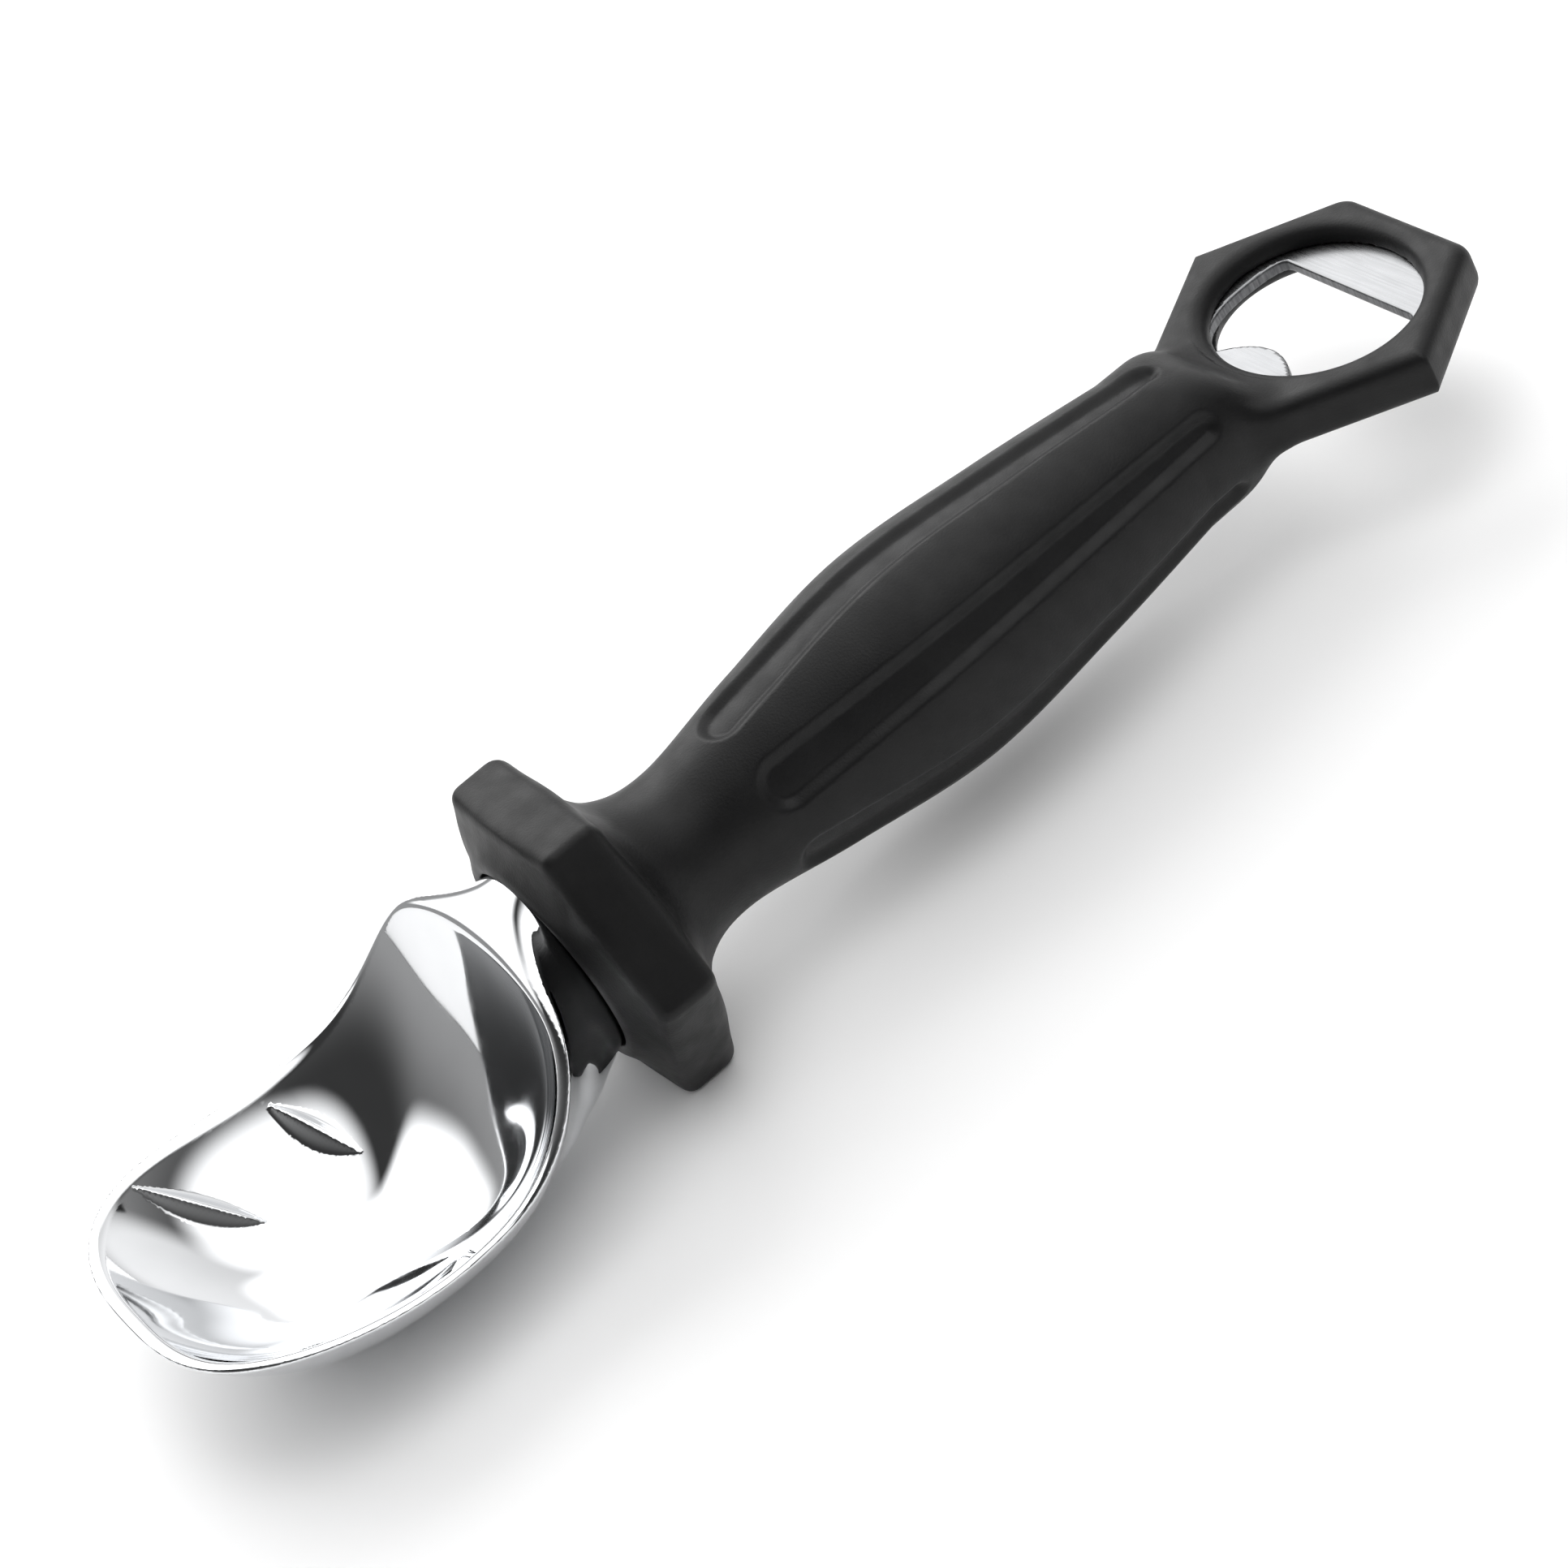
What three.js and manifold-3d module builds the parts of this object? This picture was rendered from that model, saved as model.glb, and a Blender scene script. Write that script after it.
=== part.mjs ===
// Ice cream scoop with a bottle opener in the end of its handle.
// Millimetres, +Z up. The handle's axis runs along Y: the bowl is towards -Y, the opener's loop towards +Y.
// Y is counted from the guard's back face and Z from the handle's axis, until the last lines move the model.

import * as THREE from 'three';
import { mergeVertices } from 'three/addons/utils/BufferGeometryUtils.js';
import Module from 'manifold-3d';

const wasm = await Module();
wasm.setup();

const degrees = THREE.MathUtils.degToRad;
const mix = THREE.MathUtils.lerp;

// Fits between pieces that touch on the real object
const GAP = 0.3;

// Six-sided guard, measured to its corners, and the round collar in front of it
const SIDES = 6;
const GUARD_RADIUS = 23.4;
const GUARD_THICKNESS = 8.5;
const GUARD_FRONT_CHAMFER = 0.6;
const GUARD_BACK_CHAMFER = 1.0;
const COLLAR_LENGTH = 2.5;
const COLLAR_WALL = 1.4;
const COLLAR_FLARE = 3.4;

// Grip, as radii at places along the axis
const ROOT_RADIUS = 17.5;
const WAIST_RADIUS = 10.3;
const WAIST_Y = 12;
const PALM_RADIUS = 15.3;
const PALM_Y = 47;
const TAIL_RADIUS = 11.3;
const TAIL_Y = 87;
const TAIL_ROUNDING = 13;
const TAIL_NARROWING = 0.04;
const FLUTE_FRONT_WIDTH = 6.2;
const FLUTE_REAR_WIDTH = 4;
const FLUTE_DEPTH = 0.9;
const FLUTE_START_Y = 19.5;
const FLUTE_END_Y = 94;

// Loop at the end of the handle
const LOOP_MIDDLE_Y = 114.5;
const LOOP_HALF_WIDTH = 23.8;
const LOOP_HALF_LENGTH = 17.8;
const LOOP_END_HALF_WIDTH = 12;
const LOOP_THICKNESS = 6.8;
const LOOP_BEVEL = 0.9;
const HOLE_HALF_WIDTH = 15.8;
const HOLE_HALF_LENGTH = 12.8;
const HOLE_SHIFT = 1.0;
const HOLE_FLARE = 2;
const HOLE_STRAIGHT = 1;

// Bottle opener plate
const PLATE_THICKNESS = 1.6;
const PLATE_BITE = 1.2;
const LIP_SETBACK = 7.4;
const OPENING_HALF_WIDTH = 14.2;
const OPENING_MARGIN = 1.4;
const LIP_CORNER = 2.2;
const TONGUE_HALF_WIDTH = 7.8;
const TONGUE_REACH = 3.9;
const PLATE_TAIL_WIDTH = 9;
const PLATE_TAIL_LENGTH = 22;

// Neck and bowl
const NECK_RADIUS = 12.9;
const NECK_LENGTH = 6.8;
const NECK_SHOULDER = 18;
const NECK_LEAN = 0.2;
const NECK_POWER = 3;
const SPIGOT_LENGTH = 7;
const BOWL_HALF_WIDTH = 25.6;
const BOWL_FRONT_REACH = 27.7;
const BOWL_BACK_REACH = 29.5;
const BOWL_FRONT_POWER = 2.8;
const BOWL_BACK_POWER = 6;
const BOWL_BACK_TAPER = 0.11;
const FLOOR_DROP = 17.2;
const RIM_DIP = 5.4;
const RIM_DIP_BEHIND_MIDDLE = 5.4;
const TIP_RISE = 5;
const BACK_RISE = 13.6;
const BACK_RISE_POWER = 2.45;
const RIM_WALL = 1.7;
const FLOOR_WALL = 2.2;
const SIDE_SLOPE = degrees(52);
const FRONT_SLOPE = degrees(60);
const BACK_SLOPE = degrees(75);

// Inside the handle
const SKIN_WALL = 2.6;
const TANG_WIDTH = 12;
const TANG_THICKNESS = 5;
const TANG_LENGTH = 60;
const TANG_IN_HEAD = 5;
const PIN_RADIUS = 1.5;
const PIN_COVER = 1.5;

// Fineness of the faceted surfaces
const BOWL_STEPS = 48;
const BOWL_RINGS = 9;
const NECK_STEPS = 36;
const NECK_ROWS = 9;
const GRIP_STEPS = 60;
const GRIP_ROWS = 26;
const ROUND_STEPS = 16;
const CURVE_STEPS = 10;

// Places that follow from the sizes above
const COLLAR_FRONT_Y = -GUARD_THICKNESS - COLLAR_LENGTH;
const SPIGOT_END_Y = COLLAR_FRONT_Y + SPIGOT_LENGTH;
const BOWL_BACK_Y = COLLAR_FRONT_Y - NECK_LENGTH;
const BOWL_MIDDLE_Y = BOWL_BACK_Y - BOWL_BACK_REACH;
const TIP_Y = BOWL_MIDDLE_Y - BOWL_FRONT_REACH;
const RIM_DIP_Y = BOWL_MIDDLE_Y + RIM_DIP_BEHIND_MIDDLE;
const LOOP_END_Y = LOOP_MIDDLE_Y + LOOP_HALF_LENGTH;
const HOLE_MIDDLE_Y = LOOP_MIDDLE_Y + HOLE_SHIFT;
const CORE_FRONT_Y = SPIGOT_END_Y + GAP;
const CORE_BACK_Y = TAIL_Y + GAP;
const TANG_FRONT_Y = SPIGOT_END_Y - TANG_IN_HEAD;
const TANG_BACK_Y = TANG_FRONT_Y + TANG_LENGTH;
const PLATE_TAIL_Y = CORE_BACK_Y - PLATE_TAIL_LENGTH;

// Solids and meshes

function signedVolume(positions, index) {
  const [a, b, c] = [new THREE.Vector3(), new THREE.Vector3(), new THREE.Vector3()];
  let volume = 0;
  for (let i = 0; i < index.length; i += 3) {
    a.fromArray(positions, 3 * index[i]);
    b.fromArray(positions, 3 * index[i + 1]);
    c.fromArray(positions, 3 * index[i + 2]);
    volume += a.dot(b.cross(c)) / 6;
  }
  return volume;
}

function solid(geometry) {
  const bare = geometry.clone();
  bare.deleteAttribute('normal');
  bare.deleteAttribute('uv');
  const merged = mergeVertices(bare, 1e-4);
  const vertProperties = Float32Array.from(merged.attributes.position.array);
  const corners = [];
  const all = merged.index.array;
  for (let i = 0; i < all.length; i += 3) {
    const [p, q, r] = [all[i], all[i + 1], all[i + 2]];
    if (p !== q && q !== r && r !== p) corners.push(p, q, r);
  }
  if (signedVolume(vertProperties, corners) < 0) corners.reverse();
  const triVerts = Uint32Array.from(corners);
  return new wasm.Manifold(new wasm.Mesh({ numProp: 3, vertProperties, triVerts }));
}

function geometryOf(manifold) {
  const { vertProperties, triVerts } = manifold.getMesh();
  const geometry = new THREE.BufferGeometry();
  geometry.setAttribute('position', new THREE.BufferAttribute(Float32Array.from(vertProperties), 3));
  geometry.setIndex(new THREE.BufferAttribute(Uint32Array.from(triVerts), 1));
  geometry.computeVertexNormals();
  return geometry;
}

function lathe(points, steps, start = 0) {
  const profile = points.map(([radius, y]) => new THREE.Vector2(radius, y));
  return solid(new THREE.LatheGeometry(profile, steps, start));
}

function flat(shape, thickness) {
  const settings = { depth: thickness, bevelEnabled: false, curveSegments: CURVE_STEPS };
  return solid(new THREE.ExtrudeGeometry(shape, settings).translate(0, 0, -thickness / 2));
}

function block(width, y0, y1, z0, z1) {
  const box = new THREE.BoxGeometry(width, y1 - y0, z1 - z0);
  return solid(box.translate(0, (y0 + y1) / 2, (z0 + z1) / 2));
}

function uprightPin(radius, y, halfLength) {
  const pin = new THREE.CylinderGeometry(radius, radius, 2 * halfLength, ROUND_STEPS);
  return solid(pin.rotateX(Math.PI / 2).translate(0, y, 0));
}

// Closed surface through a stack of rings with equal counts of points, with a point closing each end
function ringStack(first, rings, last) {
  const count = rings[0].length;
  const points = [first, ...rings.flat(), last];
  const end = points.length - 1;
  const index = [];
  const at = (ring, step) => 1 + ring * count + (step % count);
  for (let step = 0; step < count; step++) {
    index.push(0, at(0, step), at(0, step + 1));
    for (let ring = 0; ring + 1 < rings.length; ring++) {
      index.push(at(ring, step), at(ring + 1, step), at(ring + 1, step + 1));
      index.push(at(ring, step), at(ring + 1, step + 1), at(ring, step + 1));
    }
    index.push(end, at(rings.length - 1, step + 1), at(rings.length - 1, step));
  }
  const geometry = new THREE.BufferGeometry().setFromPoints(points);
  geometry.setIndex(index);
  return solid(geometry);
}

// Bowl: its rim is a rounded outline from above, which dips at the sides and climbs to tip and neck

function rimHeight(y) {
  if (y < RIM_DIP_Y) {
    const share = Math.min((RIM_DIP_Y - y) / (RIM_DIP_Y - TIP_Y), 1);
    return -RIM_DIP + TIP_RISE * Math.sin((share * Math.PI) / 2) ** 2;
  }
  const share = Math.min((y - RIM_DIP_Y) / (BOWL_BACK_Y - RIM_DIP_Y), 1);
  return -RIM_DIP + BACK_RISE * share ** BACK_RISE_POWER;
}

function rimPoint(turn) {
  const [across, along] = [Math.sin(turn), Math.cos(turn)];
  const reach = along > 0 ? BOWL_BACK_REACH : BOWL_FRONT_REACH;
  const power = along > 0 ? BOWL_BACK_POWER : BOWL_FRONT_POWER;
  const inverse = (Math.abs(across) / BOWL_HALF_WIDTH) ** power + (Math.abs(along) / reach) ** power;
  const radius = inverse ** (-1 / power);
  const taper = 1 - BOWL_BACK_TAPER * Math.max((along * radius) / reach, 0) ** 2;
  const y = BOWL_MIDDLE_Y + along * radius;
  return new THREE.Vector3(across * radius * taper, y, rimHeight(y));
}

function wallSlope(turn) {
  const along = Math.cos(turn);
  return SIDE_SLOPE + along ** 2 * ((along > 0 ? BACK_SLOPE : FRONT_SLOPE) - SIDE_SLOPE);
}

function bowlPoint(turn, share, wall) {
  const rim = rimPoint(turn);
  const out = new THREE.Vector2(rim.x, rim.y - BOWL_MIDDLE_Y);
  out.setLength(out.length() + wall * RIM_WALL).multiplyScalar(share);
  const slope = wallSlope(turn);
  const climb = (1 - Math.sqrt(1 - (share * Math.sin(slope)) ** 2)) / (1 - Math.cos(slope));
  const floor = -FLOOR_DROP - wall * FLOOR_WALL;
  const top = rim.z - (wall * RIM_WALL) / 2;
  return new THREE.Vector3(out.x, BOWL_MIDDLE_Y + out.y, mix(floor, top, climb));
}

function bowlRings(wall) {
  const rings = [];
  for (let ring = 1; ring <= BOWL_RINGS; ring++) {
    const share = Math.sin((ring / BOWL_RINGS) * (Math.PI / 2));
    rings.push(turns(BOWL_STEPS, (turn) => bowlPoint(turn, share, wall)));
  }
  return rings;
}

function turns(count, pointAt) {
  return Array.from({ length: count }, (_, step) => pointAt((step / count) * 2 * Math.PI));
}

function bowlShell() {
  const lip = turns(BOWL_STEPS, (turn) => {
    const ridge = bowlPoint(turn, 1, 0).lerp(bowlPoint(turn, 1, 1), 0.5);
    return ridge.setZ(ridge.z + RIM_WALL / 2);
  });
  const rings = [...bowlRings(0), lip, ...bowlRings(1).reverse()];
  return ringStack(bowlPoint(0, 0, 0), rings, bowlPoint(0, 0, 1));
}

function bowlCavity() {
  const top = BACK_RISE + RIM_WALL;
  const lid = turns(BOWL_STEPS, (turn) => rimPoint(turn).setZ(top));
  return ringStack(bowlPoint(0, 0, 0), [...bowlRings(0), lid], new THREE.Vector3(0, BOWL_MIDDLE_Y, top));
}

// Neck: a round spigot that flares into the back of the bowl, wider towards the rim than below

function squarer(share, power) {
  return Math.sign(share) * Math.abs(share) ** (2 / power);
}

function neckRing({ y, halfWidth, top, bottom, lean, power }) {
  const [middle, halfHeight] = [(top + bottom) / 2, (top - bottom) / 2];
  return turns(NECK_STEPS, (turn) => {
    const [across, up] = [squarer(Math.sin(turn), power), squarer(Math.cos(turn), power)];
    return new THREE.Vector3(halfWidth * across * (1 + lean * up), y, middle + halfHeight * up);
  });
}

// Depth between the neck's underside and the bowl's floor, as a share of the way
function belowNeck(share) {
  return mix(-NECK_RADIUS, -FLOOR_DROP, share);
}

function neck() {
  const circle = { halfWidth: NECK_RADIUS, top: NECK_RADIUS, bottom: -NECK_RADIUS, lean: 0, power: 2 };
  const shoulderY = BOWL_BACK_Y - RIM_WALL;
  const insideY = mix(BOWL_BACK_Y, BOWL_MIDDLE_Y, 0.3);
  const underY = mix(BOWL_BACK_Y, BOWL_MIDDLE_Y, 0.65);
  const shoulder = { halfWidth: NECK_SHOULDER, lean: NECK_LEAN, power: NECK_POWER };
  const stations = [
    { y: COLLAR_FRONT_Y, ...circle },
    { y: shoulderY, ...shoulder, top: rimHeight(BOWL_BACK_Y), bottom: belowNeck(0.2) },
    { y: insideY, ...shoulder, top: rimHeight(insideY), bottom: belowNeck(0.6) },
    { y: underY, ...shoulder, halfWidth: NECK_SHOULDER / 2, top: -FLOOR_DROP / 2, bottom: -FLOOR_DROP },
  ];
  const heights = stations.map((s) => new THREE.Vector3(s.y, s.top, s.bottom));
  const widths = stations.map((s) => new THREE.Vector3(s.halfWidth, s.lean, s.power));
  const heightCurve = new THREE.CatmullRomCurve3(heights);
  const widthCurve = new THREE.CatmullRomCurve3(widths);
  const rings = [neckRing({ y: SPIGOT_END_Y, ...circle })];
  for (let row = 0; row <= NECK_ROWS; row++) {
    const [y, top, bottom] = heightCurve.getPoint(row / NECK_ROWS).toArray();
    const [halfWidth, lean, power] = widthCurve.getPoint(row / NECK_ROWS).toArray();
    rings.push(neckRing({ y, halfWidth, top, bottom, lean, power }));
  }
  const first = new THREE.Vector3(0, SPIGOT_END_Y, 0);
  return ringStack(first, rings, new THREE.Vector3(0, underY, -0.75 * FLOOR_DROP));
}

function scoopHead() {
  const socket = block(TANG_WIDTH + 2 * GAP, TANG_FRONT_Y - GAP, SPIGOT_END_Y + GAP,
    -TANG_THICKNESS / 2 - GAP, TANG_THICKNESS / 2 + GAP);
  return bowlShell().add(neck()).subtract(bowlCavity()).subtract(socket);
}

// Grip: a turned body with flutes pressed into it

function gripCurve() {
  return new THREE.SplineCurve([
    new THREE.Vector2(ROOT_RADIUS, 0),
    new THREE.Vector2(mix(WAIST_RADIUS, ROOT_RADIUS, 0.25), WAIST_Y / 3),
    new THREE.Vector2(WAIST_RADIUS, WAIST_Y),
    new THREE.Vector2(mix(WAIST_RADIUS, PALM_RADIUS, 0.5), mix(WAIST_Y, PALM_Y, 0.44)),
    new THREE.Vector2(PALM_RADIUS, PALM_Y),
    new THREE.Vector2(mix(PALM_RADIUS, TAIL_RADIUS, 0.42), mix(PALM_Y, TAIL_Y, 0.53)),
    new THREE.Vector2(TAIL_RADIUS, TAIL_Y),
  ]);
}

// Each flute is a long hollow with round ends, wider at the front
function fluteDepth(turn, radius, y) {
  const pitch = (2 * Math.PI) / SIDES;
  const across = Math.abs(turn - pitch * Math.round(turn / pitch)) * radius;
  const share = THREE.MathUtils.inverseLerp(FLUTE_START_Y, FLUTE_END_Y, y);
  const half = mix(FLUTE_FRONT_WIDTH, FLUTE_REAR_WIDTH, THREE.MathUtils.clamp(share, 0, 1)) / 2;
  const pastEnd = Math.max(FLUTE_START_Y + half - y, y - FLUTE_END_Y + half, 0);
  return FLUTE_DEPTH * THREE.MathUtils.smoothstep(half - Math.hypot(pastEnd, across), 0, 0.75 * half);
}

// Radius of the grip at a turn: past the tail its top and bottom round down into the loop
function gripRadius(turn, radius, y) {
  const past = Math.max(y - TAIL_Y, 0) / TAIL_ROUNDING;
  if (past === 0) return radius;
  const halfHeight = TAIL_RADIUS * Math.sqrt(1 - past ** 2);
  return Math.min(radius, halfHeight / Math.max(Math.abs(Math.cos(turn)), 1e-6));
}

function gripBody() {
  const profile = gripCurve().getSpacedPoints(GRIP_ROWS);
  const tailRows = Math.round(GRIP_ROWS / 4);
  for (let row = 1; row <= tailRows; row++) {
    const past = TAIL_ROUNDING * Math.sin((row / (tailRows + 1)) * (Math.PI / 2));
    profile.push(new THREE.Vector2(TAIL_RADIUS - TAIL_NARROWING * past, TAIL_Y + past));
  }
  const rings = profile.map(({ x: radius, y }) => turns(GRIP_STEPS, (turn) => {
    const pressed = gripRadius(turn, radius, y) - fluteDepth(turn, radius, y);
    return new THREE.Vector3(pressed * Math.sin(turn), y, pressed * Math.cos(turn));
  }));
  const last = new THREE.Vector3(0, profile.at(-1).y, 0);
  return ringStack(new THREE.Vector3(0, profile[0].y, 0), rings, last);
}

function guard() {
  const [front, back] = [-GUARD_THICKNESS, 0];
  return lathe([
    [0, front],
    [GUARD_RADIUS - GUARD_FRONT_CHAMFER, front],
    [GUARD_RADIUS, front + GUARD_FRONT_CHAMFER],
    [GUARD_RADIUS, back - GUARD_BACK_CHAMFER],
    [GUARD_RADIUS - GUARD_BACK_CHAMFER, back],
    [0, back],
  ], SIDES, Math.PI / SIDES);
}

function collar() {
  const rim = NECK_RADIUS + GAP + COLLAR_WALL;
  const seat = -GUARD_THICKNESS / 2;
  return lathe([
    [0, COLLAR_FRONT_Y],
    [rim, COLLAR_FRONT_Y],
    [rim + COLLAR_FLARE, -GUARD_THICKNESS],
    [rim + COLLAR_FLARE, seat],
    [0, seat],
  ], NECK_STEPS);
}

// Joins the grip's root to the guard, whose back face is flat
function gripRoot() {
  const seat = -GUARD_THICKNESS / 2;
  return lathe([
    [0, seat],
    [ROOT_RADIUS, seat],
    [ROOT_RADIUS, 0],
    [WAIST_RADIUS, WAIST_Y / 3],
    [0, WAIST_Y / 3],
  ], GRIP_STEPS);
}

// Loop: a six-sided ring with an oval hole, and the opener plate set in its middle

function ovalPoint(turn, reach, z) {
  const x = (HOLE_HALF_WIDTH + reach) * Math.cos(turn);
  return new THREE.Vector3(x, HOLE_MIDDLE_Y + (HOLE_HALF_LENGTH + reach) * Math.sin(turn), z);
}

// Upright oval plug through levels of [reach beyond the hole, height]
function ovalPlug(levels) {
  const rings = levels.map(([reach, z]) => turns(2 * ROUND_STEPS, (turn) => ovalPoint(turn, reach, z)));
  const [low, high] = [levels[0][1], levels.at(-1)[1]];
  const end = (z) => new THREE.Vector3(0, HOLE_MIDDLE_Y, z);
  return ringStack(end(low), rings, end(high));
}

function loop() {
  const x = LOOP_HALF_WIDTH - LOOP_BEVEL;
  const endX = LOOP_END_HALF_WIDTH - LOOP_BEVEL / 2;
  const y = LOOP_HALF_LENGTH - LOOP_BEVEL;
  const outline = [[x, 0], [endX, y], [-endX, y], [-x, 0], [-endX, -y], [endX, -y]];
  const corners = outline.map(([across, along]) => new THREE.Vector2(across, LOOP_MIDDLE_Y + along));
  const shape = new THREE.Shape(corners);
  return solid(new THREE.ExtrudeGeometry(shape, {
    depth: LOOP_THICKNESS - 2 * LOOP_BEVEL,
    bevelThickness: LOOP_BEVEL,
    bevelSize: LOOP_BEVEL,
    bevelSegments: 2,
  }).translate(0, 0, LOOP_BEVEL - LOOP_THICKNESS / 2));
}

// The hole's wall rounds out towards both faces of the loop
function loopHole() {
  const face = LOOP_THICKNESS / 2;
  const rows = Math.round(CURVE_STEPS / 2);
  const levels = [];
  for (let row = 0; row <= rows; row++) {
    const bend = (row / rows) * (Math.PI / 2);
    levels.push([HOLE_FLARE * (1 - Math.cos(bend)), mix(HOLE_STRAIGHT, face, Math.sin(bend))]);
  }
  levels.push([HOLE_FLARE, LOOP_THICKNESS]);
  const mirrored = levels.map(([reach, z]) => [reach, -z]).reverse();
  return ovalPlug([...mirrored, ...levels]);
}

function plateOutline(clearance) {
  const reach = PLATE_BITE + clearance;
  const half = PLATE_THICKNESS / 2 + clearance;
  const width = PLATE_TAIL_WIDTH + 2 * clearance;
  const tail = block(width, PLATE_TAIL_Y - clearance, HOLE_MIDDLE_Y - HOLE_HALF_LENGTH, -half, half);
  return ovalPlug([[reach, -half], [reach, half]]).add(tail);
}

// D-shaped opening: a straight lip towards the end of the handle, and a rounded tongue opposite it
function plateOpening() {
  const lipY = HOLE_MIDDLE_Y + HOLE_HALF_LENGTH - LIP_SETBACK;
  const lowY = HOLE_MIDDLE_Y - HOLE_HALF_LENGTH + OPENING_MARGIN;
  const middleY = mix(lowY, lipY, 0.6);
  const shape = new THREE.Shape();
  shape.moveTo(-OPENING_HALF_WIDTH + LIP_CORNER, lipY);
  shape.quadraticCurveTo(-OPENING_HALF_WIDTH, lipY, -OPENING_HALF_WIDTH, middleY);
  shape.quadraticCurveTo(-OPENING_HALF_WIDTH, lowY + LIP_CORNER, -TONGUE_HALF_WIDTH, lowY);
  shape.quadraticCurveTo(0, lowY + 2 * TONGUE_REACH, TONGUE_HALF_WIDTH, lowY);
  shape.quadraticCurveTo(OPENING_HALF_WIDTH, lowY + LIP_CORNER, OPENING_HALF_WIDTH, middleY);
  shape.quadraticCurveTo(OPENING_HALF_WIDTH, lipY, OPENING_HALF_WIDTH - LIP_CORNER, lipY);
  return flat(shape, 2 * PLATE_THICKNESS);
}

// Inside the handle: two core halves round the tang and the plate's tail, with cross pins

const coreFrontRadius = NECK_RADIUS - GAP;

function coreBody(clearance) {
  const curve = new THREE.SplineCurve([
    new THREE.Vector2(coreFrontRadius, CORE_FRONT_Y),
    new THREE.Vector2(WAIST_RADIUS - SKIN_WALL, WAIST_Y),
    new THREE.Vector2(PALM_RADIUS - SKIN_WALL, PALM_Y),
    new THREE.Vector2(TAIL_RADIUS - SKIN_WALL, TAIL_Y),
  ]);
  const rows = curve.getPoints(CURVE_STEPS).map(({ x, y }) => [x + clearance, y]);
  return lathe([[0, rows[0][1]], ...rows, [0, rows.at(-1)[1]]], 2 * ROUND_STEPS);
}

function coreRadius(y) {
  const points = gripCurve().getPoints(8 * GRIP_ROWS);
  return points.reduce((near, p) => (Math.abs(p.y - y) < Math.abs(near.y - y) ? p : near)).x - SKIN_WALL;
}

const PINS = {
  tang_pin_front: WAIST_Y,
  tang_pin_rear: TANG_BACK_Y - TANG_WIDTH,
  opener_pin: PLATE_TAIL_Y + PLATE_TAIL_WIDTH / 2,
};

function pin(y, clearance = 0) {
  return uprightPin(PIN_RADIUS + clearance, y, coreRadius(y) - PIN_COVER - GAP + clearance);
}

function withoutPins(body) {
  return Object.values(PINS).reduce((left, y) => left.subtract(pin(y, GAP)), body);
}

function tang() {
  const bar = block(TANG_WIDTH, TANG_FRONT_Y, TANG_BACK_Y, -TANG_THICKNESS / 2, TANG_THICKNESS / 2);
  return withoutPins(bar);
}

function openerPlate() {
  return withoutPins(plateOutline(0).subtract(plateOpening()));
}

function coreHalf(side) {
  const far = side * 2 * PALM_RADIUS;
  const [low, high] = [(side * GAP) / 2, far].sort((a, b) => a - b);
  const half = block(4 * PALM_RADIUS, CORE_FRONT_Y - GAP, CORE_BACK_Y, low, high);
  const tangSlot = block(TANG_WIDTH + 2 * GAP, TANG_FRONT_Y, TANG_BACK_Y + GAP,
    -TANG_THICKNESS / 2 - GAP, TANG_THICKNESS / 2 + GAP);
  return withoutPins(coreBody(0).intersect(half).subtract(tangSlot).subtract(plateOutline(GAP)));
}

function gripSkin() {
  const body = [gripRoot(), guard(), collar(), loop()].reduce((joined, part) => joined.add(part), gripBody());
  const hollows = [coreBody(GAP), coreEndClearance(), spigotHole(), loopHole(), plateOutline(GAP)];
  return hollows.reduce((left, hollow) => left.subtract(hollow), body);
}

function spigotHole() {
  const [front, radius] = [COLLAR_FRONT_Y - GAP, NECK_RADIUS + GAP];
  return lathe([[0, front], [radius, front], [radius, CORE_FRONT_Y], [0, CORE_FRONT_Y]], NECK_STEPS);
}

// Clearance behind the core's flat end
function coreEndClearance() {
  const radius = TAIL_RADIUS - SKIN_WALL + GAP;
  const front = TAIL_Y - GAP;
  return lathe([[0, front], [radius, front], [radius, CORE_BACK_Y], [0, CORE_BACK_Y]], 2 * ROUND_STEPS);
}

// Materials

const chrome = new THREE.MeshStandardMaterial({ color: 0xdfe2e6, roughness: 0.06, metalness: 1 });
const steel = new THREE.MeshStandardMaterial({ color: 0xc9ccd0, roughness: 0.22, metalness: 1 });
const softBlack = new THREE.MeshStandardMaterial({ color: 0x1d1d1e, roughness: 0.62, metalness: 0 });
const hardBlack = new THREE.MeshStandardMaterial({ color: 0x2a2b2d, roughness: 0.5, metalness: 0 });

// Assembly

const scoop = new THREE.Group();
scoop.name = 'ice_cream_scoop';

function addPiece(name, body, material) {
  const mesh = new THREE.Mesh(geometryOf(body), material);
  mesh.name = name;
  scoop.add(mesh);
}

addPiece('scoop_head', scoopHead(), chrome);
addPiece('tang', tang(), steel);
addPiece('core_upper', coreHalf(1), hardBlack);
addPiece('core_lower', coreHalf(-1), hardBlack);
for (const [name, y] of Object.entries(PINS)) addPiece(name, pin(y), steel);
addPiece('opener_plate', openerPlate(), steel);
addPiece('grip_skin', gripSkin(), softBlack);

// The origin lies under the middle of the scoop, at the height of its lowest point
const box = new THREE.Box3().setFromObject(scoop);
scoop.position.set(0, -(TIP_Y - RIM_WALL + LOOP_END_Y) / 2, -box.min.z);

export default scoop;
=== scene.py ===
"""Looks of the ice cream scoop: chrome head, soft black grip and opener plate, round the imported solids.

Shapes are worked out in millimetres in the handle's own frame: Y along the axis from the guard's back face,
Z up from the axis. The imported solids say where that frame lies.
"""
import math

import bpy
import numpy as np
from mathutils import Matrix, Vector


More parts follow.
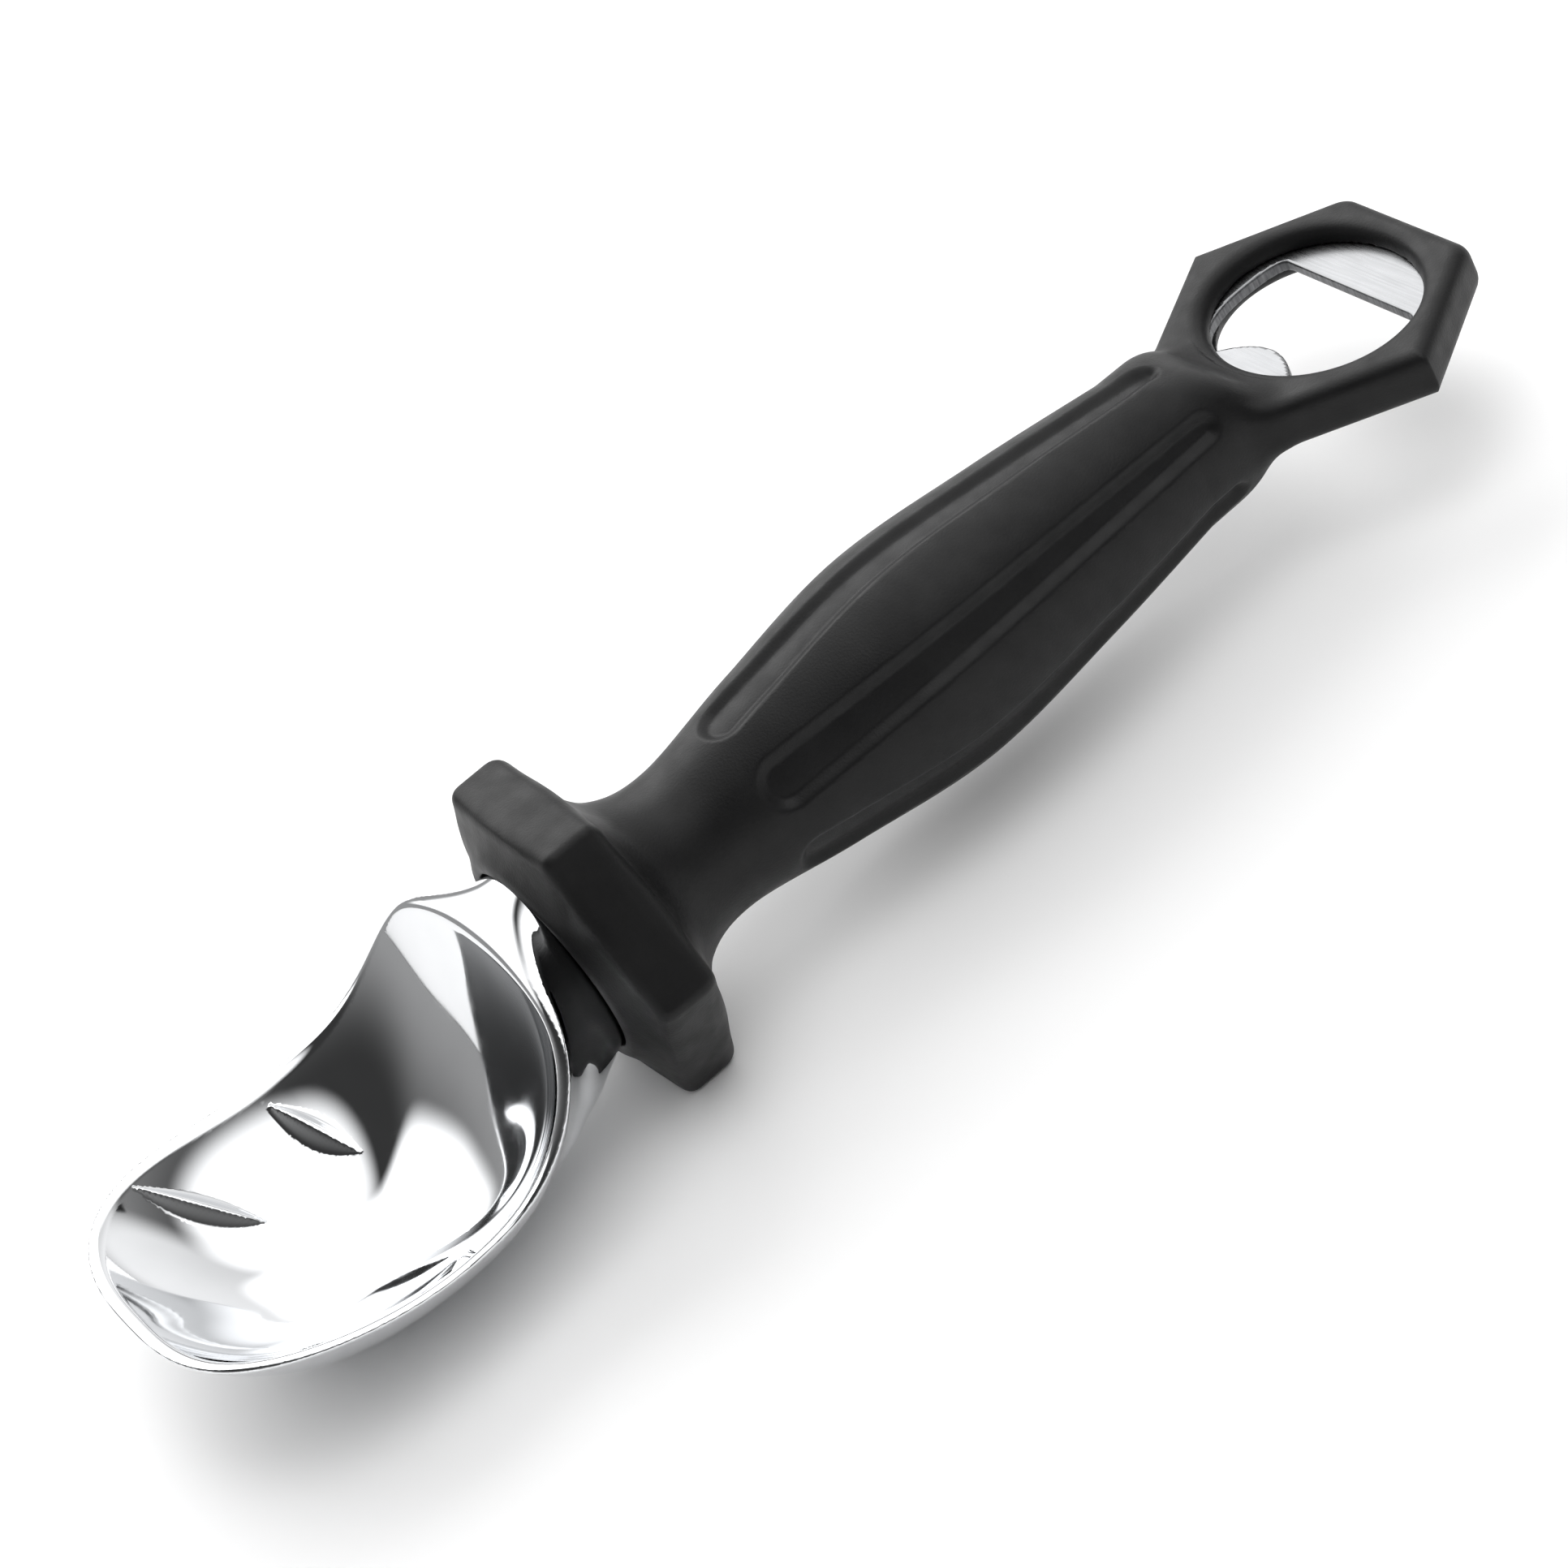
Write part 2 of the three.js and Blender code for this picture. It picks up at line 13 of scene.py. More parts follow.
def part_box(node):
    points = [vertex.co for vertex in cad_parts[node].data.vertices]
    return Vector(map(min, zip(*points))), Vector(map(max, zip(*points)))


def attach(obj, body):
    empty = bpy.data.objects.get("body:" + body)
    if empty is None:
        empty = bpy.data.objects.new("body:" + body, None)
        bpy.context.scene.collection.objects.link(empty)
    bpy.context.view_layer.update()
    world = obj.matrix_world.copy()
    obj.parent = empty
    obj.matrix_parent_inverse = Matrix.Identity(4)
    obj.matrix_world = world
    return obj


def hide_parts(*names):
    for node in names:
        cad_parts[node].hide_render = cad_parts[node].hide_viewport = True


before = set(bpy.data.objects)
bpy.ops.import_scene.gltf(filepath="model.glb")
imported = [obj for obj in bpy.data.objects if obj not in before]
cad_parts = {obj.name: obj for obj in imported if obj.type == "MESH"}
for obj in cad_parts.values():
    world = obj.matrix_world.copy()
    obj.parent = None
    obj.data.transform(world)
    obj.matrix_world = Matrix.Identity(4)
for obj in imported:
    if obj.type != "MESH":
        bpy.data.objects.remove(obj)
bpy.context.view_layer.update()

MM = 0.001
GAP = 0.3
MOULDED_GAP = 0.06

# Carving: the mesh's cell, how many cells a point may settle, and the width of a blend of radius 1
MESH_PITCH = 0.4
SETTLE_REACH = 0.9
EDGE_SPREAD = 1.2

# Guards against dividing by nothing
TINY = 1e-6
LEAST_STEEPNESS = 0.05
LEAST_LENS = 1e-3
LEAST_TAIL_SHARE = 0.001
PLACE_STEP = 1e-9

# Guard and collar
SIDES = 6
GUARD_RADIUS = 23.4
GUARD_THICKNESS = 8.5
GUARD_CORNER_ROUNDING = 0.7
GUARD_FRONT_ROUNDING = 1.7
GUARD_BACK_ROUNDING = 2.2
COLLAR_LENGTH = 2.5
COLLAR_WALL = 1.4
COLLAR_FLARE = 3.4
COLLAR_EDGE_ROUNDING = 0.4
COLLAR_SLANT = 0.6
COLLAR_BLEND = 2.2
GUARD_BLEND = 1.6

# Grip
ROOT_RADIUS = 17.5
ROOT_FILLET_SHARE = 0.25
WAIST_RADIUS, WAIST_Y = 10.3, 12.0
SWELL_RADIUS_SHARE, SWELL_PLACE_SHARE = 0.5, 0.44
PALM_RADIUS, PALM_Y = 15.3, 47.0
FALL_RADIUS_SHARE, FALL_PLACE_SHARE = 0.42, 0.53
TAIL_RADIUS, TAIL_Y = 11.3, 87.0
TAIL_ROUNDING = 13.0
TAIL_NARROWING = 0.04
TAIL_EDGE_ROUNDING = 3.0
FLUTE_FRONT_WIDTH = 7.2
FLUTE_REAR_WIDTH = 4.0
FLUTE_DEPTH = 1.1
FLUTE_EDGE, FLUTE_WALL = 0.5, 1.5
FLUTE_START_Y, FLUTE_END_Y = 19.0, 92.6
SKIN_WALL = 2.6
CORE_EDGE_ROUNDING = 0.3

# Loop and opener plate
LOOP_MIDDLE_Y = 114.5
LOOP_HALF_WIDTH = 23.8
LOOP_HALF_LENGTH = 17.8
LOOP_END_HALF_WIDTH = 12.0
LOOP_THICKNESS = 6.8
LOOP_CORNER_ROUNDING = 1.1
LOOP_EDGE_ROUNDING = 1.9
LOOP_BLEND = 2.6
HOLE_HALF_WIDTH = 15.8
HOLE_HALF_LENGTH = 12.8
HOLE_SHIFT = 1.0
HOLE_FLARE = 2.0
HOLE_STRAIGHT = 1.0
HOLE_FLARE_END = 0.98
HOLE_EDGE_ROUNDING = 0.5
PLATE_THICKNESS = 1.6
PLATE_EDGE_ROUNDING = 0.25
PLATE_BITE = 1.2
LIP_SETBACK = 7.4
OPENING_HALF_WIDTH = 14.2
OPENING_MARGIN = 1.4
OPENING_WIDEST_SHARE = 0.6
LIP_CORNER = 2.2
TONGUE_HALF_WIDTH = 7.8
TONGUE_REACH = 3.9
PLATE_TAIL_WIDTH = 9.0
PLATE_TAIL_LENGTH = 22.0
SHEARED_TILT = 0.6

# Neck and bowl
NECK_RADIUS = 12.9
NECK_LENGTH = 6.8
NECK_SHOULDER = 18.0
NECK_LEAN = 0.2
NECK_POWER = 3.0
NECK_BLEND = 3.0
NECK_INSIDE_SHARE = 0.3
NECK_UNDER_SHARE = 0.85
NECK_UNDER_WIDTH_SHARE = 0.75
SHOULDER_DROP_SHARE = 0.2
INSIDE_DROP_SHARE = 0.6
SPIGOT_LENGTH = 7.0
BOWL_HALF_WIDTH = 25.6
BOWL_FRONT_REACH = 27.7
BOWL_BACK_REACH = 29.5
BOWL_FRONT_POWER = 2.8
BOWL_BACK_POWER = 6.0
BOWL_BACK_TAPER = 0.11
FLOOR_DROP = 17.2
RIM_DIP = 5.4
RIM_DIP_BEHIND_MIDDLE = 5.4
TIP_RISE = 5.0
BACK_RISE = 13.6
BACK_RISE_POWER = 2.45
RIM_AHEAD_LIMIT = 1.1
RIM_BEHIND_LIMIT = 1.3
RIM_OUTER_ROUNDING = 0.5
RIM_INNER_ROUNDING = 0.7
RIM_WALL = 1.7
FLOOR_WALL = 2.2
SIDE_SLOPE = math.radians(52)
FRONT_SLOPE = math.radians(60)
BACK_SLOPE = math.radians(75)

# Ribs on the side walls of the bowl: the two ends of each, across and along
RIB_HEIGHT = 0.95
RIB_HALF_WIDTH = 1.7
RIB_CREST = 0.3
RIB_FALL = 1.6
RIBS = (((22.4, -64.7), (13.8, -54.9)), ((24.2, -45.6), (13.8, -40.8)))

# Places that follow
COLLAR_FRONT_Y = -GUARD_THICKNESS - COLLAR_LENGTH
SPIGOT_END_Y = COLLAR_FRONT_Y + SPIGOT_LENGTH
CORE_FRONT_Y = SPIGOT_END_Y + GAP
CORE_BACK_Y = TAIL_Y + GAP
BOWL_BACK_Y = COLLAR_FRONT_Y - NECK_LENGTH
BOWL_MIDDLE_Y = BOWL_BACK_Y - BOWL_BACK_REACH
TIP_Y = BOWL_MIDDLE_Y - BOWL_FRONT_REACH
RIM_DIP_Y = BOWL_MIDDLE_Y + RIM_DIP_BEHIND_MIDDLE
NECK_INSIDE_Y = BOWL_BACK_Y - NECK_INSIDE_SHARE * BOWL_BACK_REACH
NECK_UNDER_Y = BOWL_BACK_Y - NECK_UNDER_SHARE * BOWL_BACK_REACH
HOLE_MIDDLE_Y = LOOP_MIDDLE_Y + HOLE_SHIFT
PLATE_TAIL_Y = CORE_BACK_Y - PLATE_TAIL_LENGTH

# The handle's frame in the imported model, in millimetres: the tang lies on the axis, the loop ends the grip
tang_low, tang_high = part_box("tang")
skin_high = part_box("grip_skin")[1]
AXIS_ORIGIN = np.array([
    0.0,
    skin_high.y / MM - LOOP_MIDDLE_Y - LOOP_HALF_LENGTH,
    (tang_low.z + tang_high.z) / 2 / MM,
])


def smooth_max(a, b, radius):
    """The larger of two distances, with the edge between them rounded."""
    width = EDGE_SPREAD * radius
    share = np.clip(0.5 + 0.5 * (a - b) / width, 0, 1)
    return b + (a - b) * share + width * share * (1 - share)


def smooth_min(a, b, radius):
    return -smooth_max(-a, -b, radius)


def smooth_step(value, low, high):
    share = np.clip((value - low) / (high - low), 0, 1)
    return share * share * (3 - 2 * share)


def mix(a, b, share):
    return a + (b - a) * share


def spline(points, steps=60):
    """A smooth curve through points, as rows, with the end points doubled."""
    p = np.array([points[0], *points, points[-1]], float)
    t = np.linspace(0, 1, steps, endpoint=False)[:, None]
    rows = []
    for a, b, c, d in zip(p, p[1:], p[2:], p[3:]):
        v0, v1 = (c - a) / 2, (d - b) / 2
        rows.append((2 * b - 2 * c + v0 + v1) * t**3 + (-3 * b + 3 * c - 2 * v0 - v1) * t**2 + v0 * t + b)
    return np.vstack([*rows, p[-1:]])


# Turning a distance function into a mesh

def surface_nets(distance, low, high, pitch):
    """Quads on the zero level of a distance function, one point to each cell that the surface crosses."""
    axes = [np.arange(a, b + pitch, pitch) for a, b in zip(low, high)]
    grid = np.meshgrid(*axes, indexing="ij")
    value = distance(*grid)
    inside = value < 0
    shape = np.array(value.shape) - 1
    total = np.zeros((*shape, 3))
    count = np.zeros(shape)

    def corner(offset):
        return tuple(slice(k, k + n) for k, n in zip(offset, shape))

    for axis in range(3):
        for i in (0, 1):
            for j in (0, 1):
                start = np.insert([i, j], axis, 0)
                end = np.insert([i, j], axis, 1)
                a, b = value[corner(start)], value[corner(end)]
                crosses = (a < 0) != (b < 0)
                share = np.where(crosses, a / np.where(crosses, a - b, 1), 0)
                total[crosses] += start
                total[..., axis] += np.where(crosses, share, 0)
                count += crosses
    cells = np.argwhere(count > 0)
    number = np.full(shape, -1)
    number[tuple(cells.T)] = np.arange(len(cells))
    points = np.array(low) + pitch * (cells + total[tuple(cells.T)] / count[tuple(cells.T)][:, None])
    quads = []
    for axis in range(3):
        u, v = (axis + 1) % 3, (axis + 2) % 3
        first = np.take(inside, range(inside.shape[axis] - 1), axis)
        second = np.take(inside, range(1, inside.shape[axis]), axis)
        for flip in (False, True):
            edges = np.argwhere((first & ~second) if not flip else (~first & second))
            edges = edges[(edges[:, u] > 0) & (edges[:, v] > 0)]
            edges = edges[(edges[:, u] < shape[u]) & (edges[:, v] < shape[v])]
            steps = [(0, 0), (-1, 0), (-1, -1), (0, -1)]
            ring = []
            for du, dv in steps if not flip else steps[::-1]:
                cell = edges.copy()
                cell[:, u] += du
                cell[:, v] += dv
                ring.append(number[tuple(cell.T)])
            quads.append(np.stack(ring, 1))
    return points, np.vstack(quads)


def slope_of(distance, points, step=0.02):
    out = np.empty_like(points)
    for axis in range(3):
        shift = np.zeros(3)
        shift[axis] = step
        ahead = distance(*(points + shift).T)
        behind = distance(*(points - shift).T)
        out[:, axis] = (ahead - behind) / (2 * step)
    return out


def settle(distance, points, pitch, rounds=4):
    """Moves points onto the surface along its slope, and gives the surface's normals there."""
    start = points.copy()
    for _ in range(rounds):
        slope = slope_of(distance, points)
        steep = np.maximum((slope**2).sum(1), LEAST_STEEPNESS)
        points = points - slope * (distance(*points.T) / steep)[:, None]
        points = np.clip(points, start - SETTLE_REACH * pitch, start + SETTLE_REACH * pitch)
    slope = slope_of(distance, points)
    return points, slope / np.maximum(np.linalg.norm(slope, axis=1), TINY)[:, None]


def carved(name, distance, low, high):
    points, quads = surface_nets(distance, low, high, MESH_PITCH)
    points, normals = settle(distance, points, MESH_PITCH)
    return mesh_piece(name, points, quads, normals)


def mesh_piece(name, points, quads, normals):
    mesh = bpy.data.meshes.new(name)
    placed = (points + AXIS_ORIGIN) * MM
    mesh.from_pydata(placed.tolist(), [], quads.tolist())
    mesh.polygons.foreach_set("use_smooth", [True] * len(mesh.polygons))
    mesh.normals_split_custom_set_from_vertices(normals.tolist())
    mesh.update()
    piece = bpy.data.objects.new(name, mesh)
    bpy.context.scene.collection.objects.link(piece)
    return piece


# Head

def rim_height(y):
    ahead = np.clip((RIM_DIP_Y - y) / (RIM_DIP_Y - TIP_Y), 0, RIM_AHEAD_LIMIT)
    behind = np.clip((y - RIM_DIP_Y) / (BOWL_BACK_Y - RIM_DIP_Y), 0, RIM_BEHIND_LIMIT)
    return -RIM_DIP + TIP_RISE * np.sin(ahead * math.pi / 2) ** 2 + BACK_RISE * behind**BACK_RISE_POWER


def bowl_surface(x, y, z, wall):
    """Measure of the bowl's inner surface, or its outer one with wall 1, and the height over the rim."""
    along = y - BOWL_MIDDLE_Y
    radius = np.sqrt(x**2 + along**2) + TINY
    across, forward = np.abs(x) / radius, along / radius
    back = forward > 0
    reach = np.where(back, BOWL_BACK_REACH, BOWL_FRONT_REACH)
    power = np.where(back, BOWL_BACK_POWER, BOWL_FRONT_POWER)
    rim = ((across / BOWL_HALF_WIDTH) ** power + (np.abs(forward) / reach) ** power) ** (-1 / power)
    taper = 1 - BOWL_BACK_TAPER * np.clip(forward * rim / reach, 0, 1) ** 2
    rim_y = BOWL_MIDDLE_Y + forward * rim
    rim = rim * np.sqrt((across * taper) ** 2 + forward**2) + wall * RIM_WALL
    slope = SIDE_SLOPE + forward**2 * (np.where(back, BACK_SLOPE, FRONT_SLOPE) - SIDE_SLOPE)
    floor = -FLOOR_DROP - wall * FLOOR_WALL
    climb = (z - floor) / (rim_height(rim_y) - floor)
    level = 1 - climb * (1 - np.cos(slope))
    reached = np.sqrt((radius / rim * np.sin(slope)) ** 2 + level**2)
    return (reached - 1) * rim, z - rim_height(rim_y)


def neck_sizes():
    """Rows of place, half width, lean, power, top and bottom along the neck, which flares into the bowl."""
    shoulder_y = BOWL_BACK_Y - RIM_WALL
    shoulder_top = float(rim_height(BOWL_BACK_Y))
    inside_top = float(rim_height(NECK_INSIDE_Y))
    under_width = NECK_UNDER_WIDTH_SHARE * NECK_SHOULDER
    shoulder_bottom = mix(-NECK_RADIUS, -FLOOR_DROP, SHOULDER_DROP_SHARE)
    inside_bottom = mix(-NECK_RADIUS, -FLOOR_DROP, INSIDE_DROP_SHARE)
    return spline([
        (SPIGOT_END_Y, NECK_RADIUS, 0, 2, NECK_RADIUS, -NECK_RADIUS),
        (COLLAR_FRONT_Y, NECK_RADIUS, 0, 2, NECK_RADIUS, -NECK_RADIUS),
        (shoulder_y, NECK_SHOULDER, NECK_LEAN, NECK_POWER, shoulder_top, shoulder_bottom),
        (NECK_INSIDE_Y, NECK_SHOULDER, NECK_LEAN, NECK_POWER, inside_top, inside_bottom),
        (NECK_UNDER_Y, under_width, NECK_LEAN, NECK_POWER, -FLOOR_DROP / 2, -FLOOR_DROP),
    ])


def ellipse_distance(across, along, half_across, half_along, power=2.0):
    """Near distance to an ellipse, below 0 inside it; a power above 2 makes it squarer."""
    u, v = np.abs(across) / half_across + TINY, np.abs(along) / half_along + TINY
    size = (u**power + v**power) ** (1 / power)
    steep = np.sqrt((u ** (power - 1) / half_across) ** 2 + (v ** (power - 1) / half_along) ** 2)
    return (size - 1) * size ** (power - 1) / steep


def neck_distance(x, y, z):
    rows = neck_sizes()[::-1]
    half_width, lean, power, top, bottom = (np.interp(y, rows[:, 0], rows[:, k]) for k in range(1, 6))
    half_height = (top - bottom) / 2
    height = z - (top + bottom) / 2
    leaning = half_width * (1 + lean * np.clip(height / half_height, -1, 1))
    side = ellipse_distance(x, height, leaning, half_height, power)
    return np.maximum(side, np.maximum(y - SPIGOT_END_Y, rows[0, 0] - y))


def rib_height(x, y):
    """Low lens-shaped ribs on both side walls of the bowl."""
    total = np.zeros_like(x)
    for start, end in RIBS:
        start, end = np.array(start), np.array(end)
        half = np.linalg.norm(end - start) / 2
        direction = (end - start) / (2 * half)
        dx, dy = np.abs(x) - (start + end)[0] / 2, y - (start + end)[1] / 2
        along = np.clip((dx * direction[0] + dy * direction[1]) / half, -1, 1)
        across = (dy * direction[0] - dx * direction[1]) / RIB_HALF_WIDTH
        lens = np.maximum(1 - along**2, LEAST_LENS)
        crest = np.sqrt((across / lens) ** 2 + RIB_CREST**2) - RIB_CREST
        total += RIB_HEIGHT * lens * np.clip(1 - crest, 0, 1) ** RIB_FALL
    return total


def head_distance(x, y, z):
    outside, above_rim = bowl_surface(x, y, z, 1)
    outer = smooth_max(outside, above_rim, RIM_OUTER_ROUNDING)
    body = smooth_min(outer, neck_distance(x, y, z), NECK_BLEND)
    hollow = bowl_surface(x, y, z, 0)[0] + rib_height(x, y)
    return smooth_max(body, -hollow, RIM_INNER_ROUNDING)


def make_head():
    margin = 2.0
    low = (
        -BOWL_HALF_WIDTH - RIM_WALL - margin,
        TIP_Y - RIM_WALL - margin,
        -FLOOR_DROP - FLOOR_WALL - margin,
    )
    high = (BOWL_HALF_WIDTH + RIM_WALL + margin, SPIGOT_END_Y + margin, NECK_RADIUS + margin)
    piece = carved("chrome_head", head_distance, low, high)
    piece.data.materials.append(chrome_material())
    return piece


# Grip

def grip_profile():
    return spline([
        (ROOT_RADIUS, 0),
        (mix(WAIST_RADIUS, ROOT_RADIUS, ROOT_FILLET_SHARE), WAIST_Y / 3),
        (WAIST_RADIUS, WAIST_Y),
        (mix(WAIST_RADIUS, PALM_RADIUS, SWELL_RADIUS_SHARE), mix(WAIST_Y, PALM_Y, SWELL_PLACE_SHARE)),
        (PALM_RADIUS, PALM_Y),
        (mix(PALM_RADIUS, TAIL_RADIUS, FALL_RADIUS_SHARE), mix(PALM_Y, TAIL_Y, FALL_PLACE_SHARE)),
        (TAIL_RADIUS, TAIL_Y),
    ])


def core_profile():
    return spline([
        (NECK_RADIUS - GAP, CORE_FRONT_Y),
        (WAIST_RADIUS - SKIN_WALL, WAIST_Y),
        (PALM_RADIUS - SKIN_WALL, PALM_Y),
        (TAIL_RADIUS - SKIN_WALL, TAIL_Y),
    ])


def flute_depth(x, y, z, radius):
    pitch = 2 * math.pi / SIDES
    turn = np.arctan2(x, z)
    across = np.abs(turn - pitch * np.round(turn / pitch)) * radius
    share = np.clip((y - FLUTE_START_Y) / (FLUTE_END_Y - FLUTE_START_Y), 0, 1)
    half = mix(FLUTE_FRONT_WIDTH, FLUTE_REAR_WIDTH, share) / 2
    past = np.maximum(FLUTE_START_Y + half - y, y - FLUTE_END_Y + half)
    inset = half - np.sqrt(np.maximum(past, 0) ** 2 + across**2)
    return FLUTE_DEPTH * smooth_step(inset, -FLUTE_EDGE, FLUTE_WALL)


def turned(x, y, z, profile):
    """Distance to a turned body with the given rows of radius and place."""
    radius = np.interp(y, profile[:, 1], profile[:, 0])
    places = profile[:, 1] + PLACE_STEP * np.arange(len(profile))
    steepness = np.interp(y, profile[:, 1], np.gradient(profile[:, 0], places))
    return (np.sqrt(x**2 + z**2) - radius) / np.sqrt(1 + steepness**2), radius


def grip_distance(x, y, z):
    body, radius = turned(x, y, z, grip_profile())
    past = np.maximum(y - TAIL_Y, 0)
    width = TAIL_RADIUS - TAIL_NARROWING * past
    flat_tail = (np.sqrt((z / TAIL_RADIUS) ** 2 + (past / TAIL_ROUNDING) ** 2) - 1) * TAIL_RADIUS
    round_tail = (np.sqrt((x / width) ** 2 + (z / TAIL_RADIUS) ** 2) - 1) * width
    edge = np.clip(past / TAIL_ROUNDING, LEAST_TAIL_SHARE, 1) * TAIL_EDGE_ROUNDING
    tail = smooth_max(round_tail, flat_tail, edge)
    body = np.where(y > TAIL_Y, tail, body) + flute_depth(x, y, z, radius)
    return np.maximum(body, -GUARD_THICKNESS / 2 - y)


def guard_distance(x, y, z):
    flat = math.cos(math.pi / SIDES)
    reach = GUARD_RADIUS * flat
    sides = None
    for k in range(SIDES):
        turn = 2 * math.pi * k / SIDES
        plane = x * math.sin(turn) + z * math.cos(turn) - reach
        sides = plane if sides is None else smooth_max(sides, plane, GUARD_CORNER_ROUNDING)
    body = smooth_max(sides, -GUARD_THICKNESS - y, GUARD_FRONT_ROUNDING)
    return smooth_max(body, y, GUARD_BACK_ROUNDING)


def collar_distance(x, y, z):
    rim = NECK_RADIUS + GAP + COLLAR_WALL
    radius = rim + COLLAR_FLARE * np.clip((y - COLLAR_FRONT_Y) / COLLAR_LENGTH, 0, 1)
    side = (np.sqrt(x**2 + z**2) - radius) * COLLAR_SLANT
    return smooth_max(side, np.maximum(COLLAR_FRONT_Y - y, y + GUARD_THICKNESS / 2), COLLAR_EDGE_ROUNDING)


def oval_distance(x, y, half_width, half_length):
    return ellipse_distance(x, y - HOLE_MIDDLE_Y, half_width, half_length)


def hole_distance(x, y, z):
    """The oval hole, whose wall rounds out towards both faces of the loop."""
    depth = np.clip((np.abs(z) - HOLE_STRAIGHT) / (LOOP_THICKNESS / 2 - HOLE_STRAIGHT), 0, 1)
    flare = HOLE_FLARE * (1 - np.sqrt(1 - HOLE_FLARE_END * depth**2))
    return oval_distance(x, y, HOLE_HALF_WIDTH, HOLE_HALF_LENGTH) - flare


def loop_distance(x, y, z):
    across, along = np.abs(x), np.abs(y - LOOP_MIDDLE_Y)
    edge = np.array([LOOP_HALF_LENGTH, LOOP_HALF_WIDTH - LOOP_END_HALF_WIDTH])
    normal = edge / np.linalg.norm(edge)
    slanted = normal[0] * (across - LOOP_HALF_WIDTH) + normal[1] * along
    outline = smooth_max(slanted, along - LOOP_HALF_LENGTH, LOOP_CORNER_ROUNDING)
    return smooth_max(outline, np.abs(z) - LOOP_THICKNESS / 2, LOOP_EDGE_ROUNDING)


def plate_outline(x, y, clearance):
    reach = PLATE_BITE + clearance
    oval = oval_distance(x, y, HOLE_HALF_WIDTH + reach, HOLE_HALF_LENGTH + reach)
    sides = np.abs(x) - PLATE_TAIL_WIDTH / 2 - clearance
    ends = np.maximum(PLATE_TAIL_Y - clearance - y, y - HOLE_MIDDLE_Y)
    return np.minimum(oval, np.maximum(sides, ends))


def plate_space(x, y, z):
    """Slot that holds the opener plate and its tail, moulded close round them."""
    return np.maximum(plate_outline(x, y, MOULDED_GAP), np.abs(z) - PLATE_THICKNESS / 2 - MOULDED_GAP)


def core_space(x, y, z):
    body, _ = turned(x, y, z, core_profile())
    core = np.maximum(body - GAP, np.maximum(CORE_FRONT_Y - GAP - y, y - CORE_BACK_Y))
    spigot = np.maximum(np.sqrt(x**2 + z**2) - NECK_RADIUS - GAP, y - CORE_FRONT_Y)
    return np.minimum(core, spigot)


def skin_distance(x, y, z):
    handle = smooth_min(grip_distance(x, y, z), loop_distance(x, y, z), LOOP_BLEND)
    front = smooth_min(guard_distance(x, y, z), collar_distance(x, y, z), COLLAR_BLEND)
    body = smooth_min(handle, front, GUARD_BLEND)
    body = smooth_max(body, -hole_distance(x, y, z), HOLE_EDGE_ROUNDING)
    body = smooth_max(body, -core_space(x, y, z), CORE_EDGE_ROUNDING)
    return np.maximum(body, -plate_space(x, y, z))


def make_skin():
    margin = 1.5
    side = GUARD_RADIUS + margin
    low = (-side, COLLAR_FRONT_Y - margin, -GUARD_RADIUS * math.cos(math.pi / SIDES) - margin)
    high = (side, LOOP_MIDDLE_Y + LOOP_HALF_LENGTH + margin, -low[2])
    piece = carved("soft_grip", skin_distance, low, high)
    piece.data.materials.append(soft_material())
    return piece


# Opener plate

def bent_edge(start, control, end, steps=24):
    """Points along a quadratic curve, without its last point."""
    start, control, end = np.array(start), np.array(control), np.array(end)
    t = np.linspace(0, 1, steps, endpoint=False)[:, None]
    return start * (1 - t) ** 2 + control * 2 * t * (1 - t) + end * t**2


def opening_points():
    """Outline of the D-shaped opening: a straight lip, and a rounded tongue opposite it."""
    lip = HOLE_MIDDLE_Y + HOLE_HALF_LENGTH - LIP_SETBACK
    low = HOLE_MIDDLE_Y - HOLE_HALF_LENGTH + OPENING_MARGIN
    middle = mix(low, lip, OPENING_WIDEST_SHARE)
    wide, tongue = OPENING_HALF_WIDTH, TONGUE_HALF_WIDTH
    return np.vstack([
        bent_edge((-wide + LIP_CORNER, lip), (-wide, lip), (-wide, middle)),
        bent_edge((-wide, middle), (-wide, low + LIP_CORNER), (-tongue, low)),
        bent_edge((-tongue, low), (0, low + 2 * TONGUE_REACH), (tongue, low)),
        bent_edge((tongue, low), (wide, low + LIP_CORNER), (wide, middle)),
        bent_edge((wide, middle), (wide, lip), (wide - LIP_CORNER, lip)),
        [(wide - LIP_CORNER, lip)],
    ])


OPENING_OUTLINE = opening_points()


def opening_distance(x, y):
    """Distance to the opening's outline, below 0 inside it."""
    nearest = np.full(x.shape, np.inf)
    inside = np.zeros(x.shape, bool)
    for (ax, ay), (bx, by) in zip(OPENING_OUTLINE, np.roll(OPENING_OUTLINE, -1, 0)):
        span_x, span_y = bx - ax, by - ay
        share = np.clip(((x - ax) * span_x + (y - ay) * span_y) / (span_x**2 + span_y**2), 0, 1)
        nearest = np.minimum(nearest, (x - ax - share * span_x) ** 2 + (y - ay - share * span_y) ** 2)
        if span_y:
            crosses = (ay > y) != (by > y)
            inside ^= crosses & (x < ax + (y - ay) * span_x / span_y)
    return np.where(inside, -1, 1) * np.sqrt(nearest)


def plate_distance(x, y, z):
    faces = np.abs(z) - PLATE_THICKNESS / 2
    body = np.maximum(plate_outline(x, y, 0), faces)
    opening = smooth_max(-opening_distance(x, y), faces, PLATE_EDGE_ROUNDING)
    return np.maximum(body, opening)


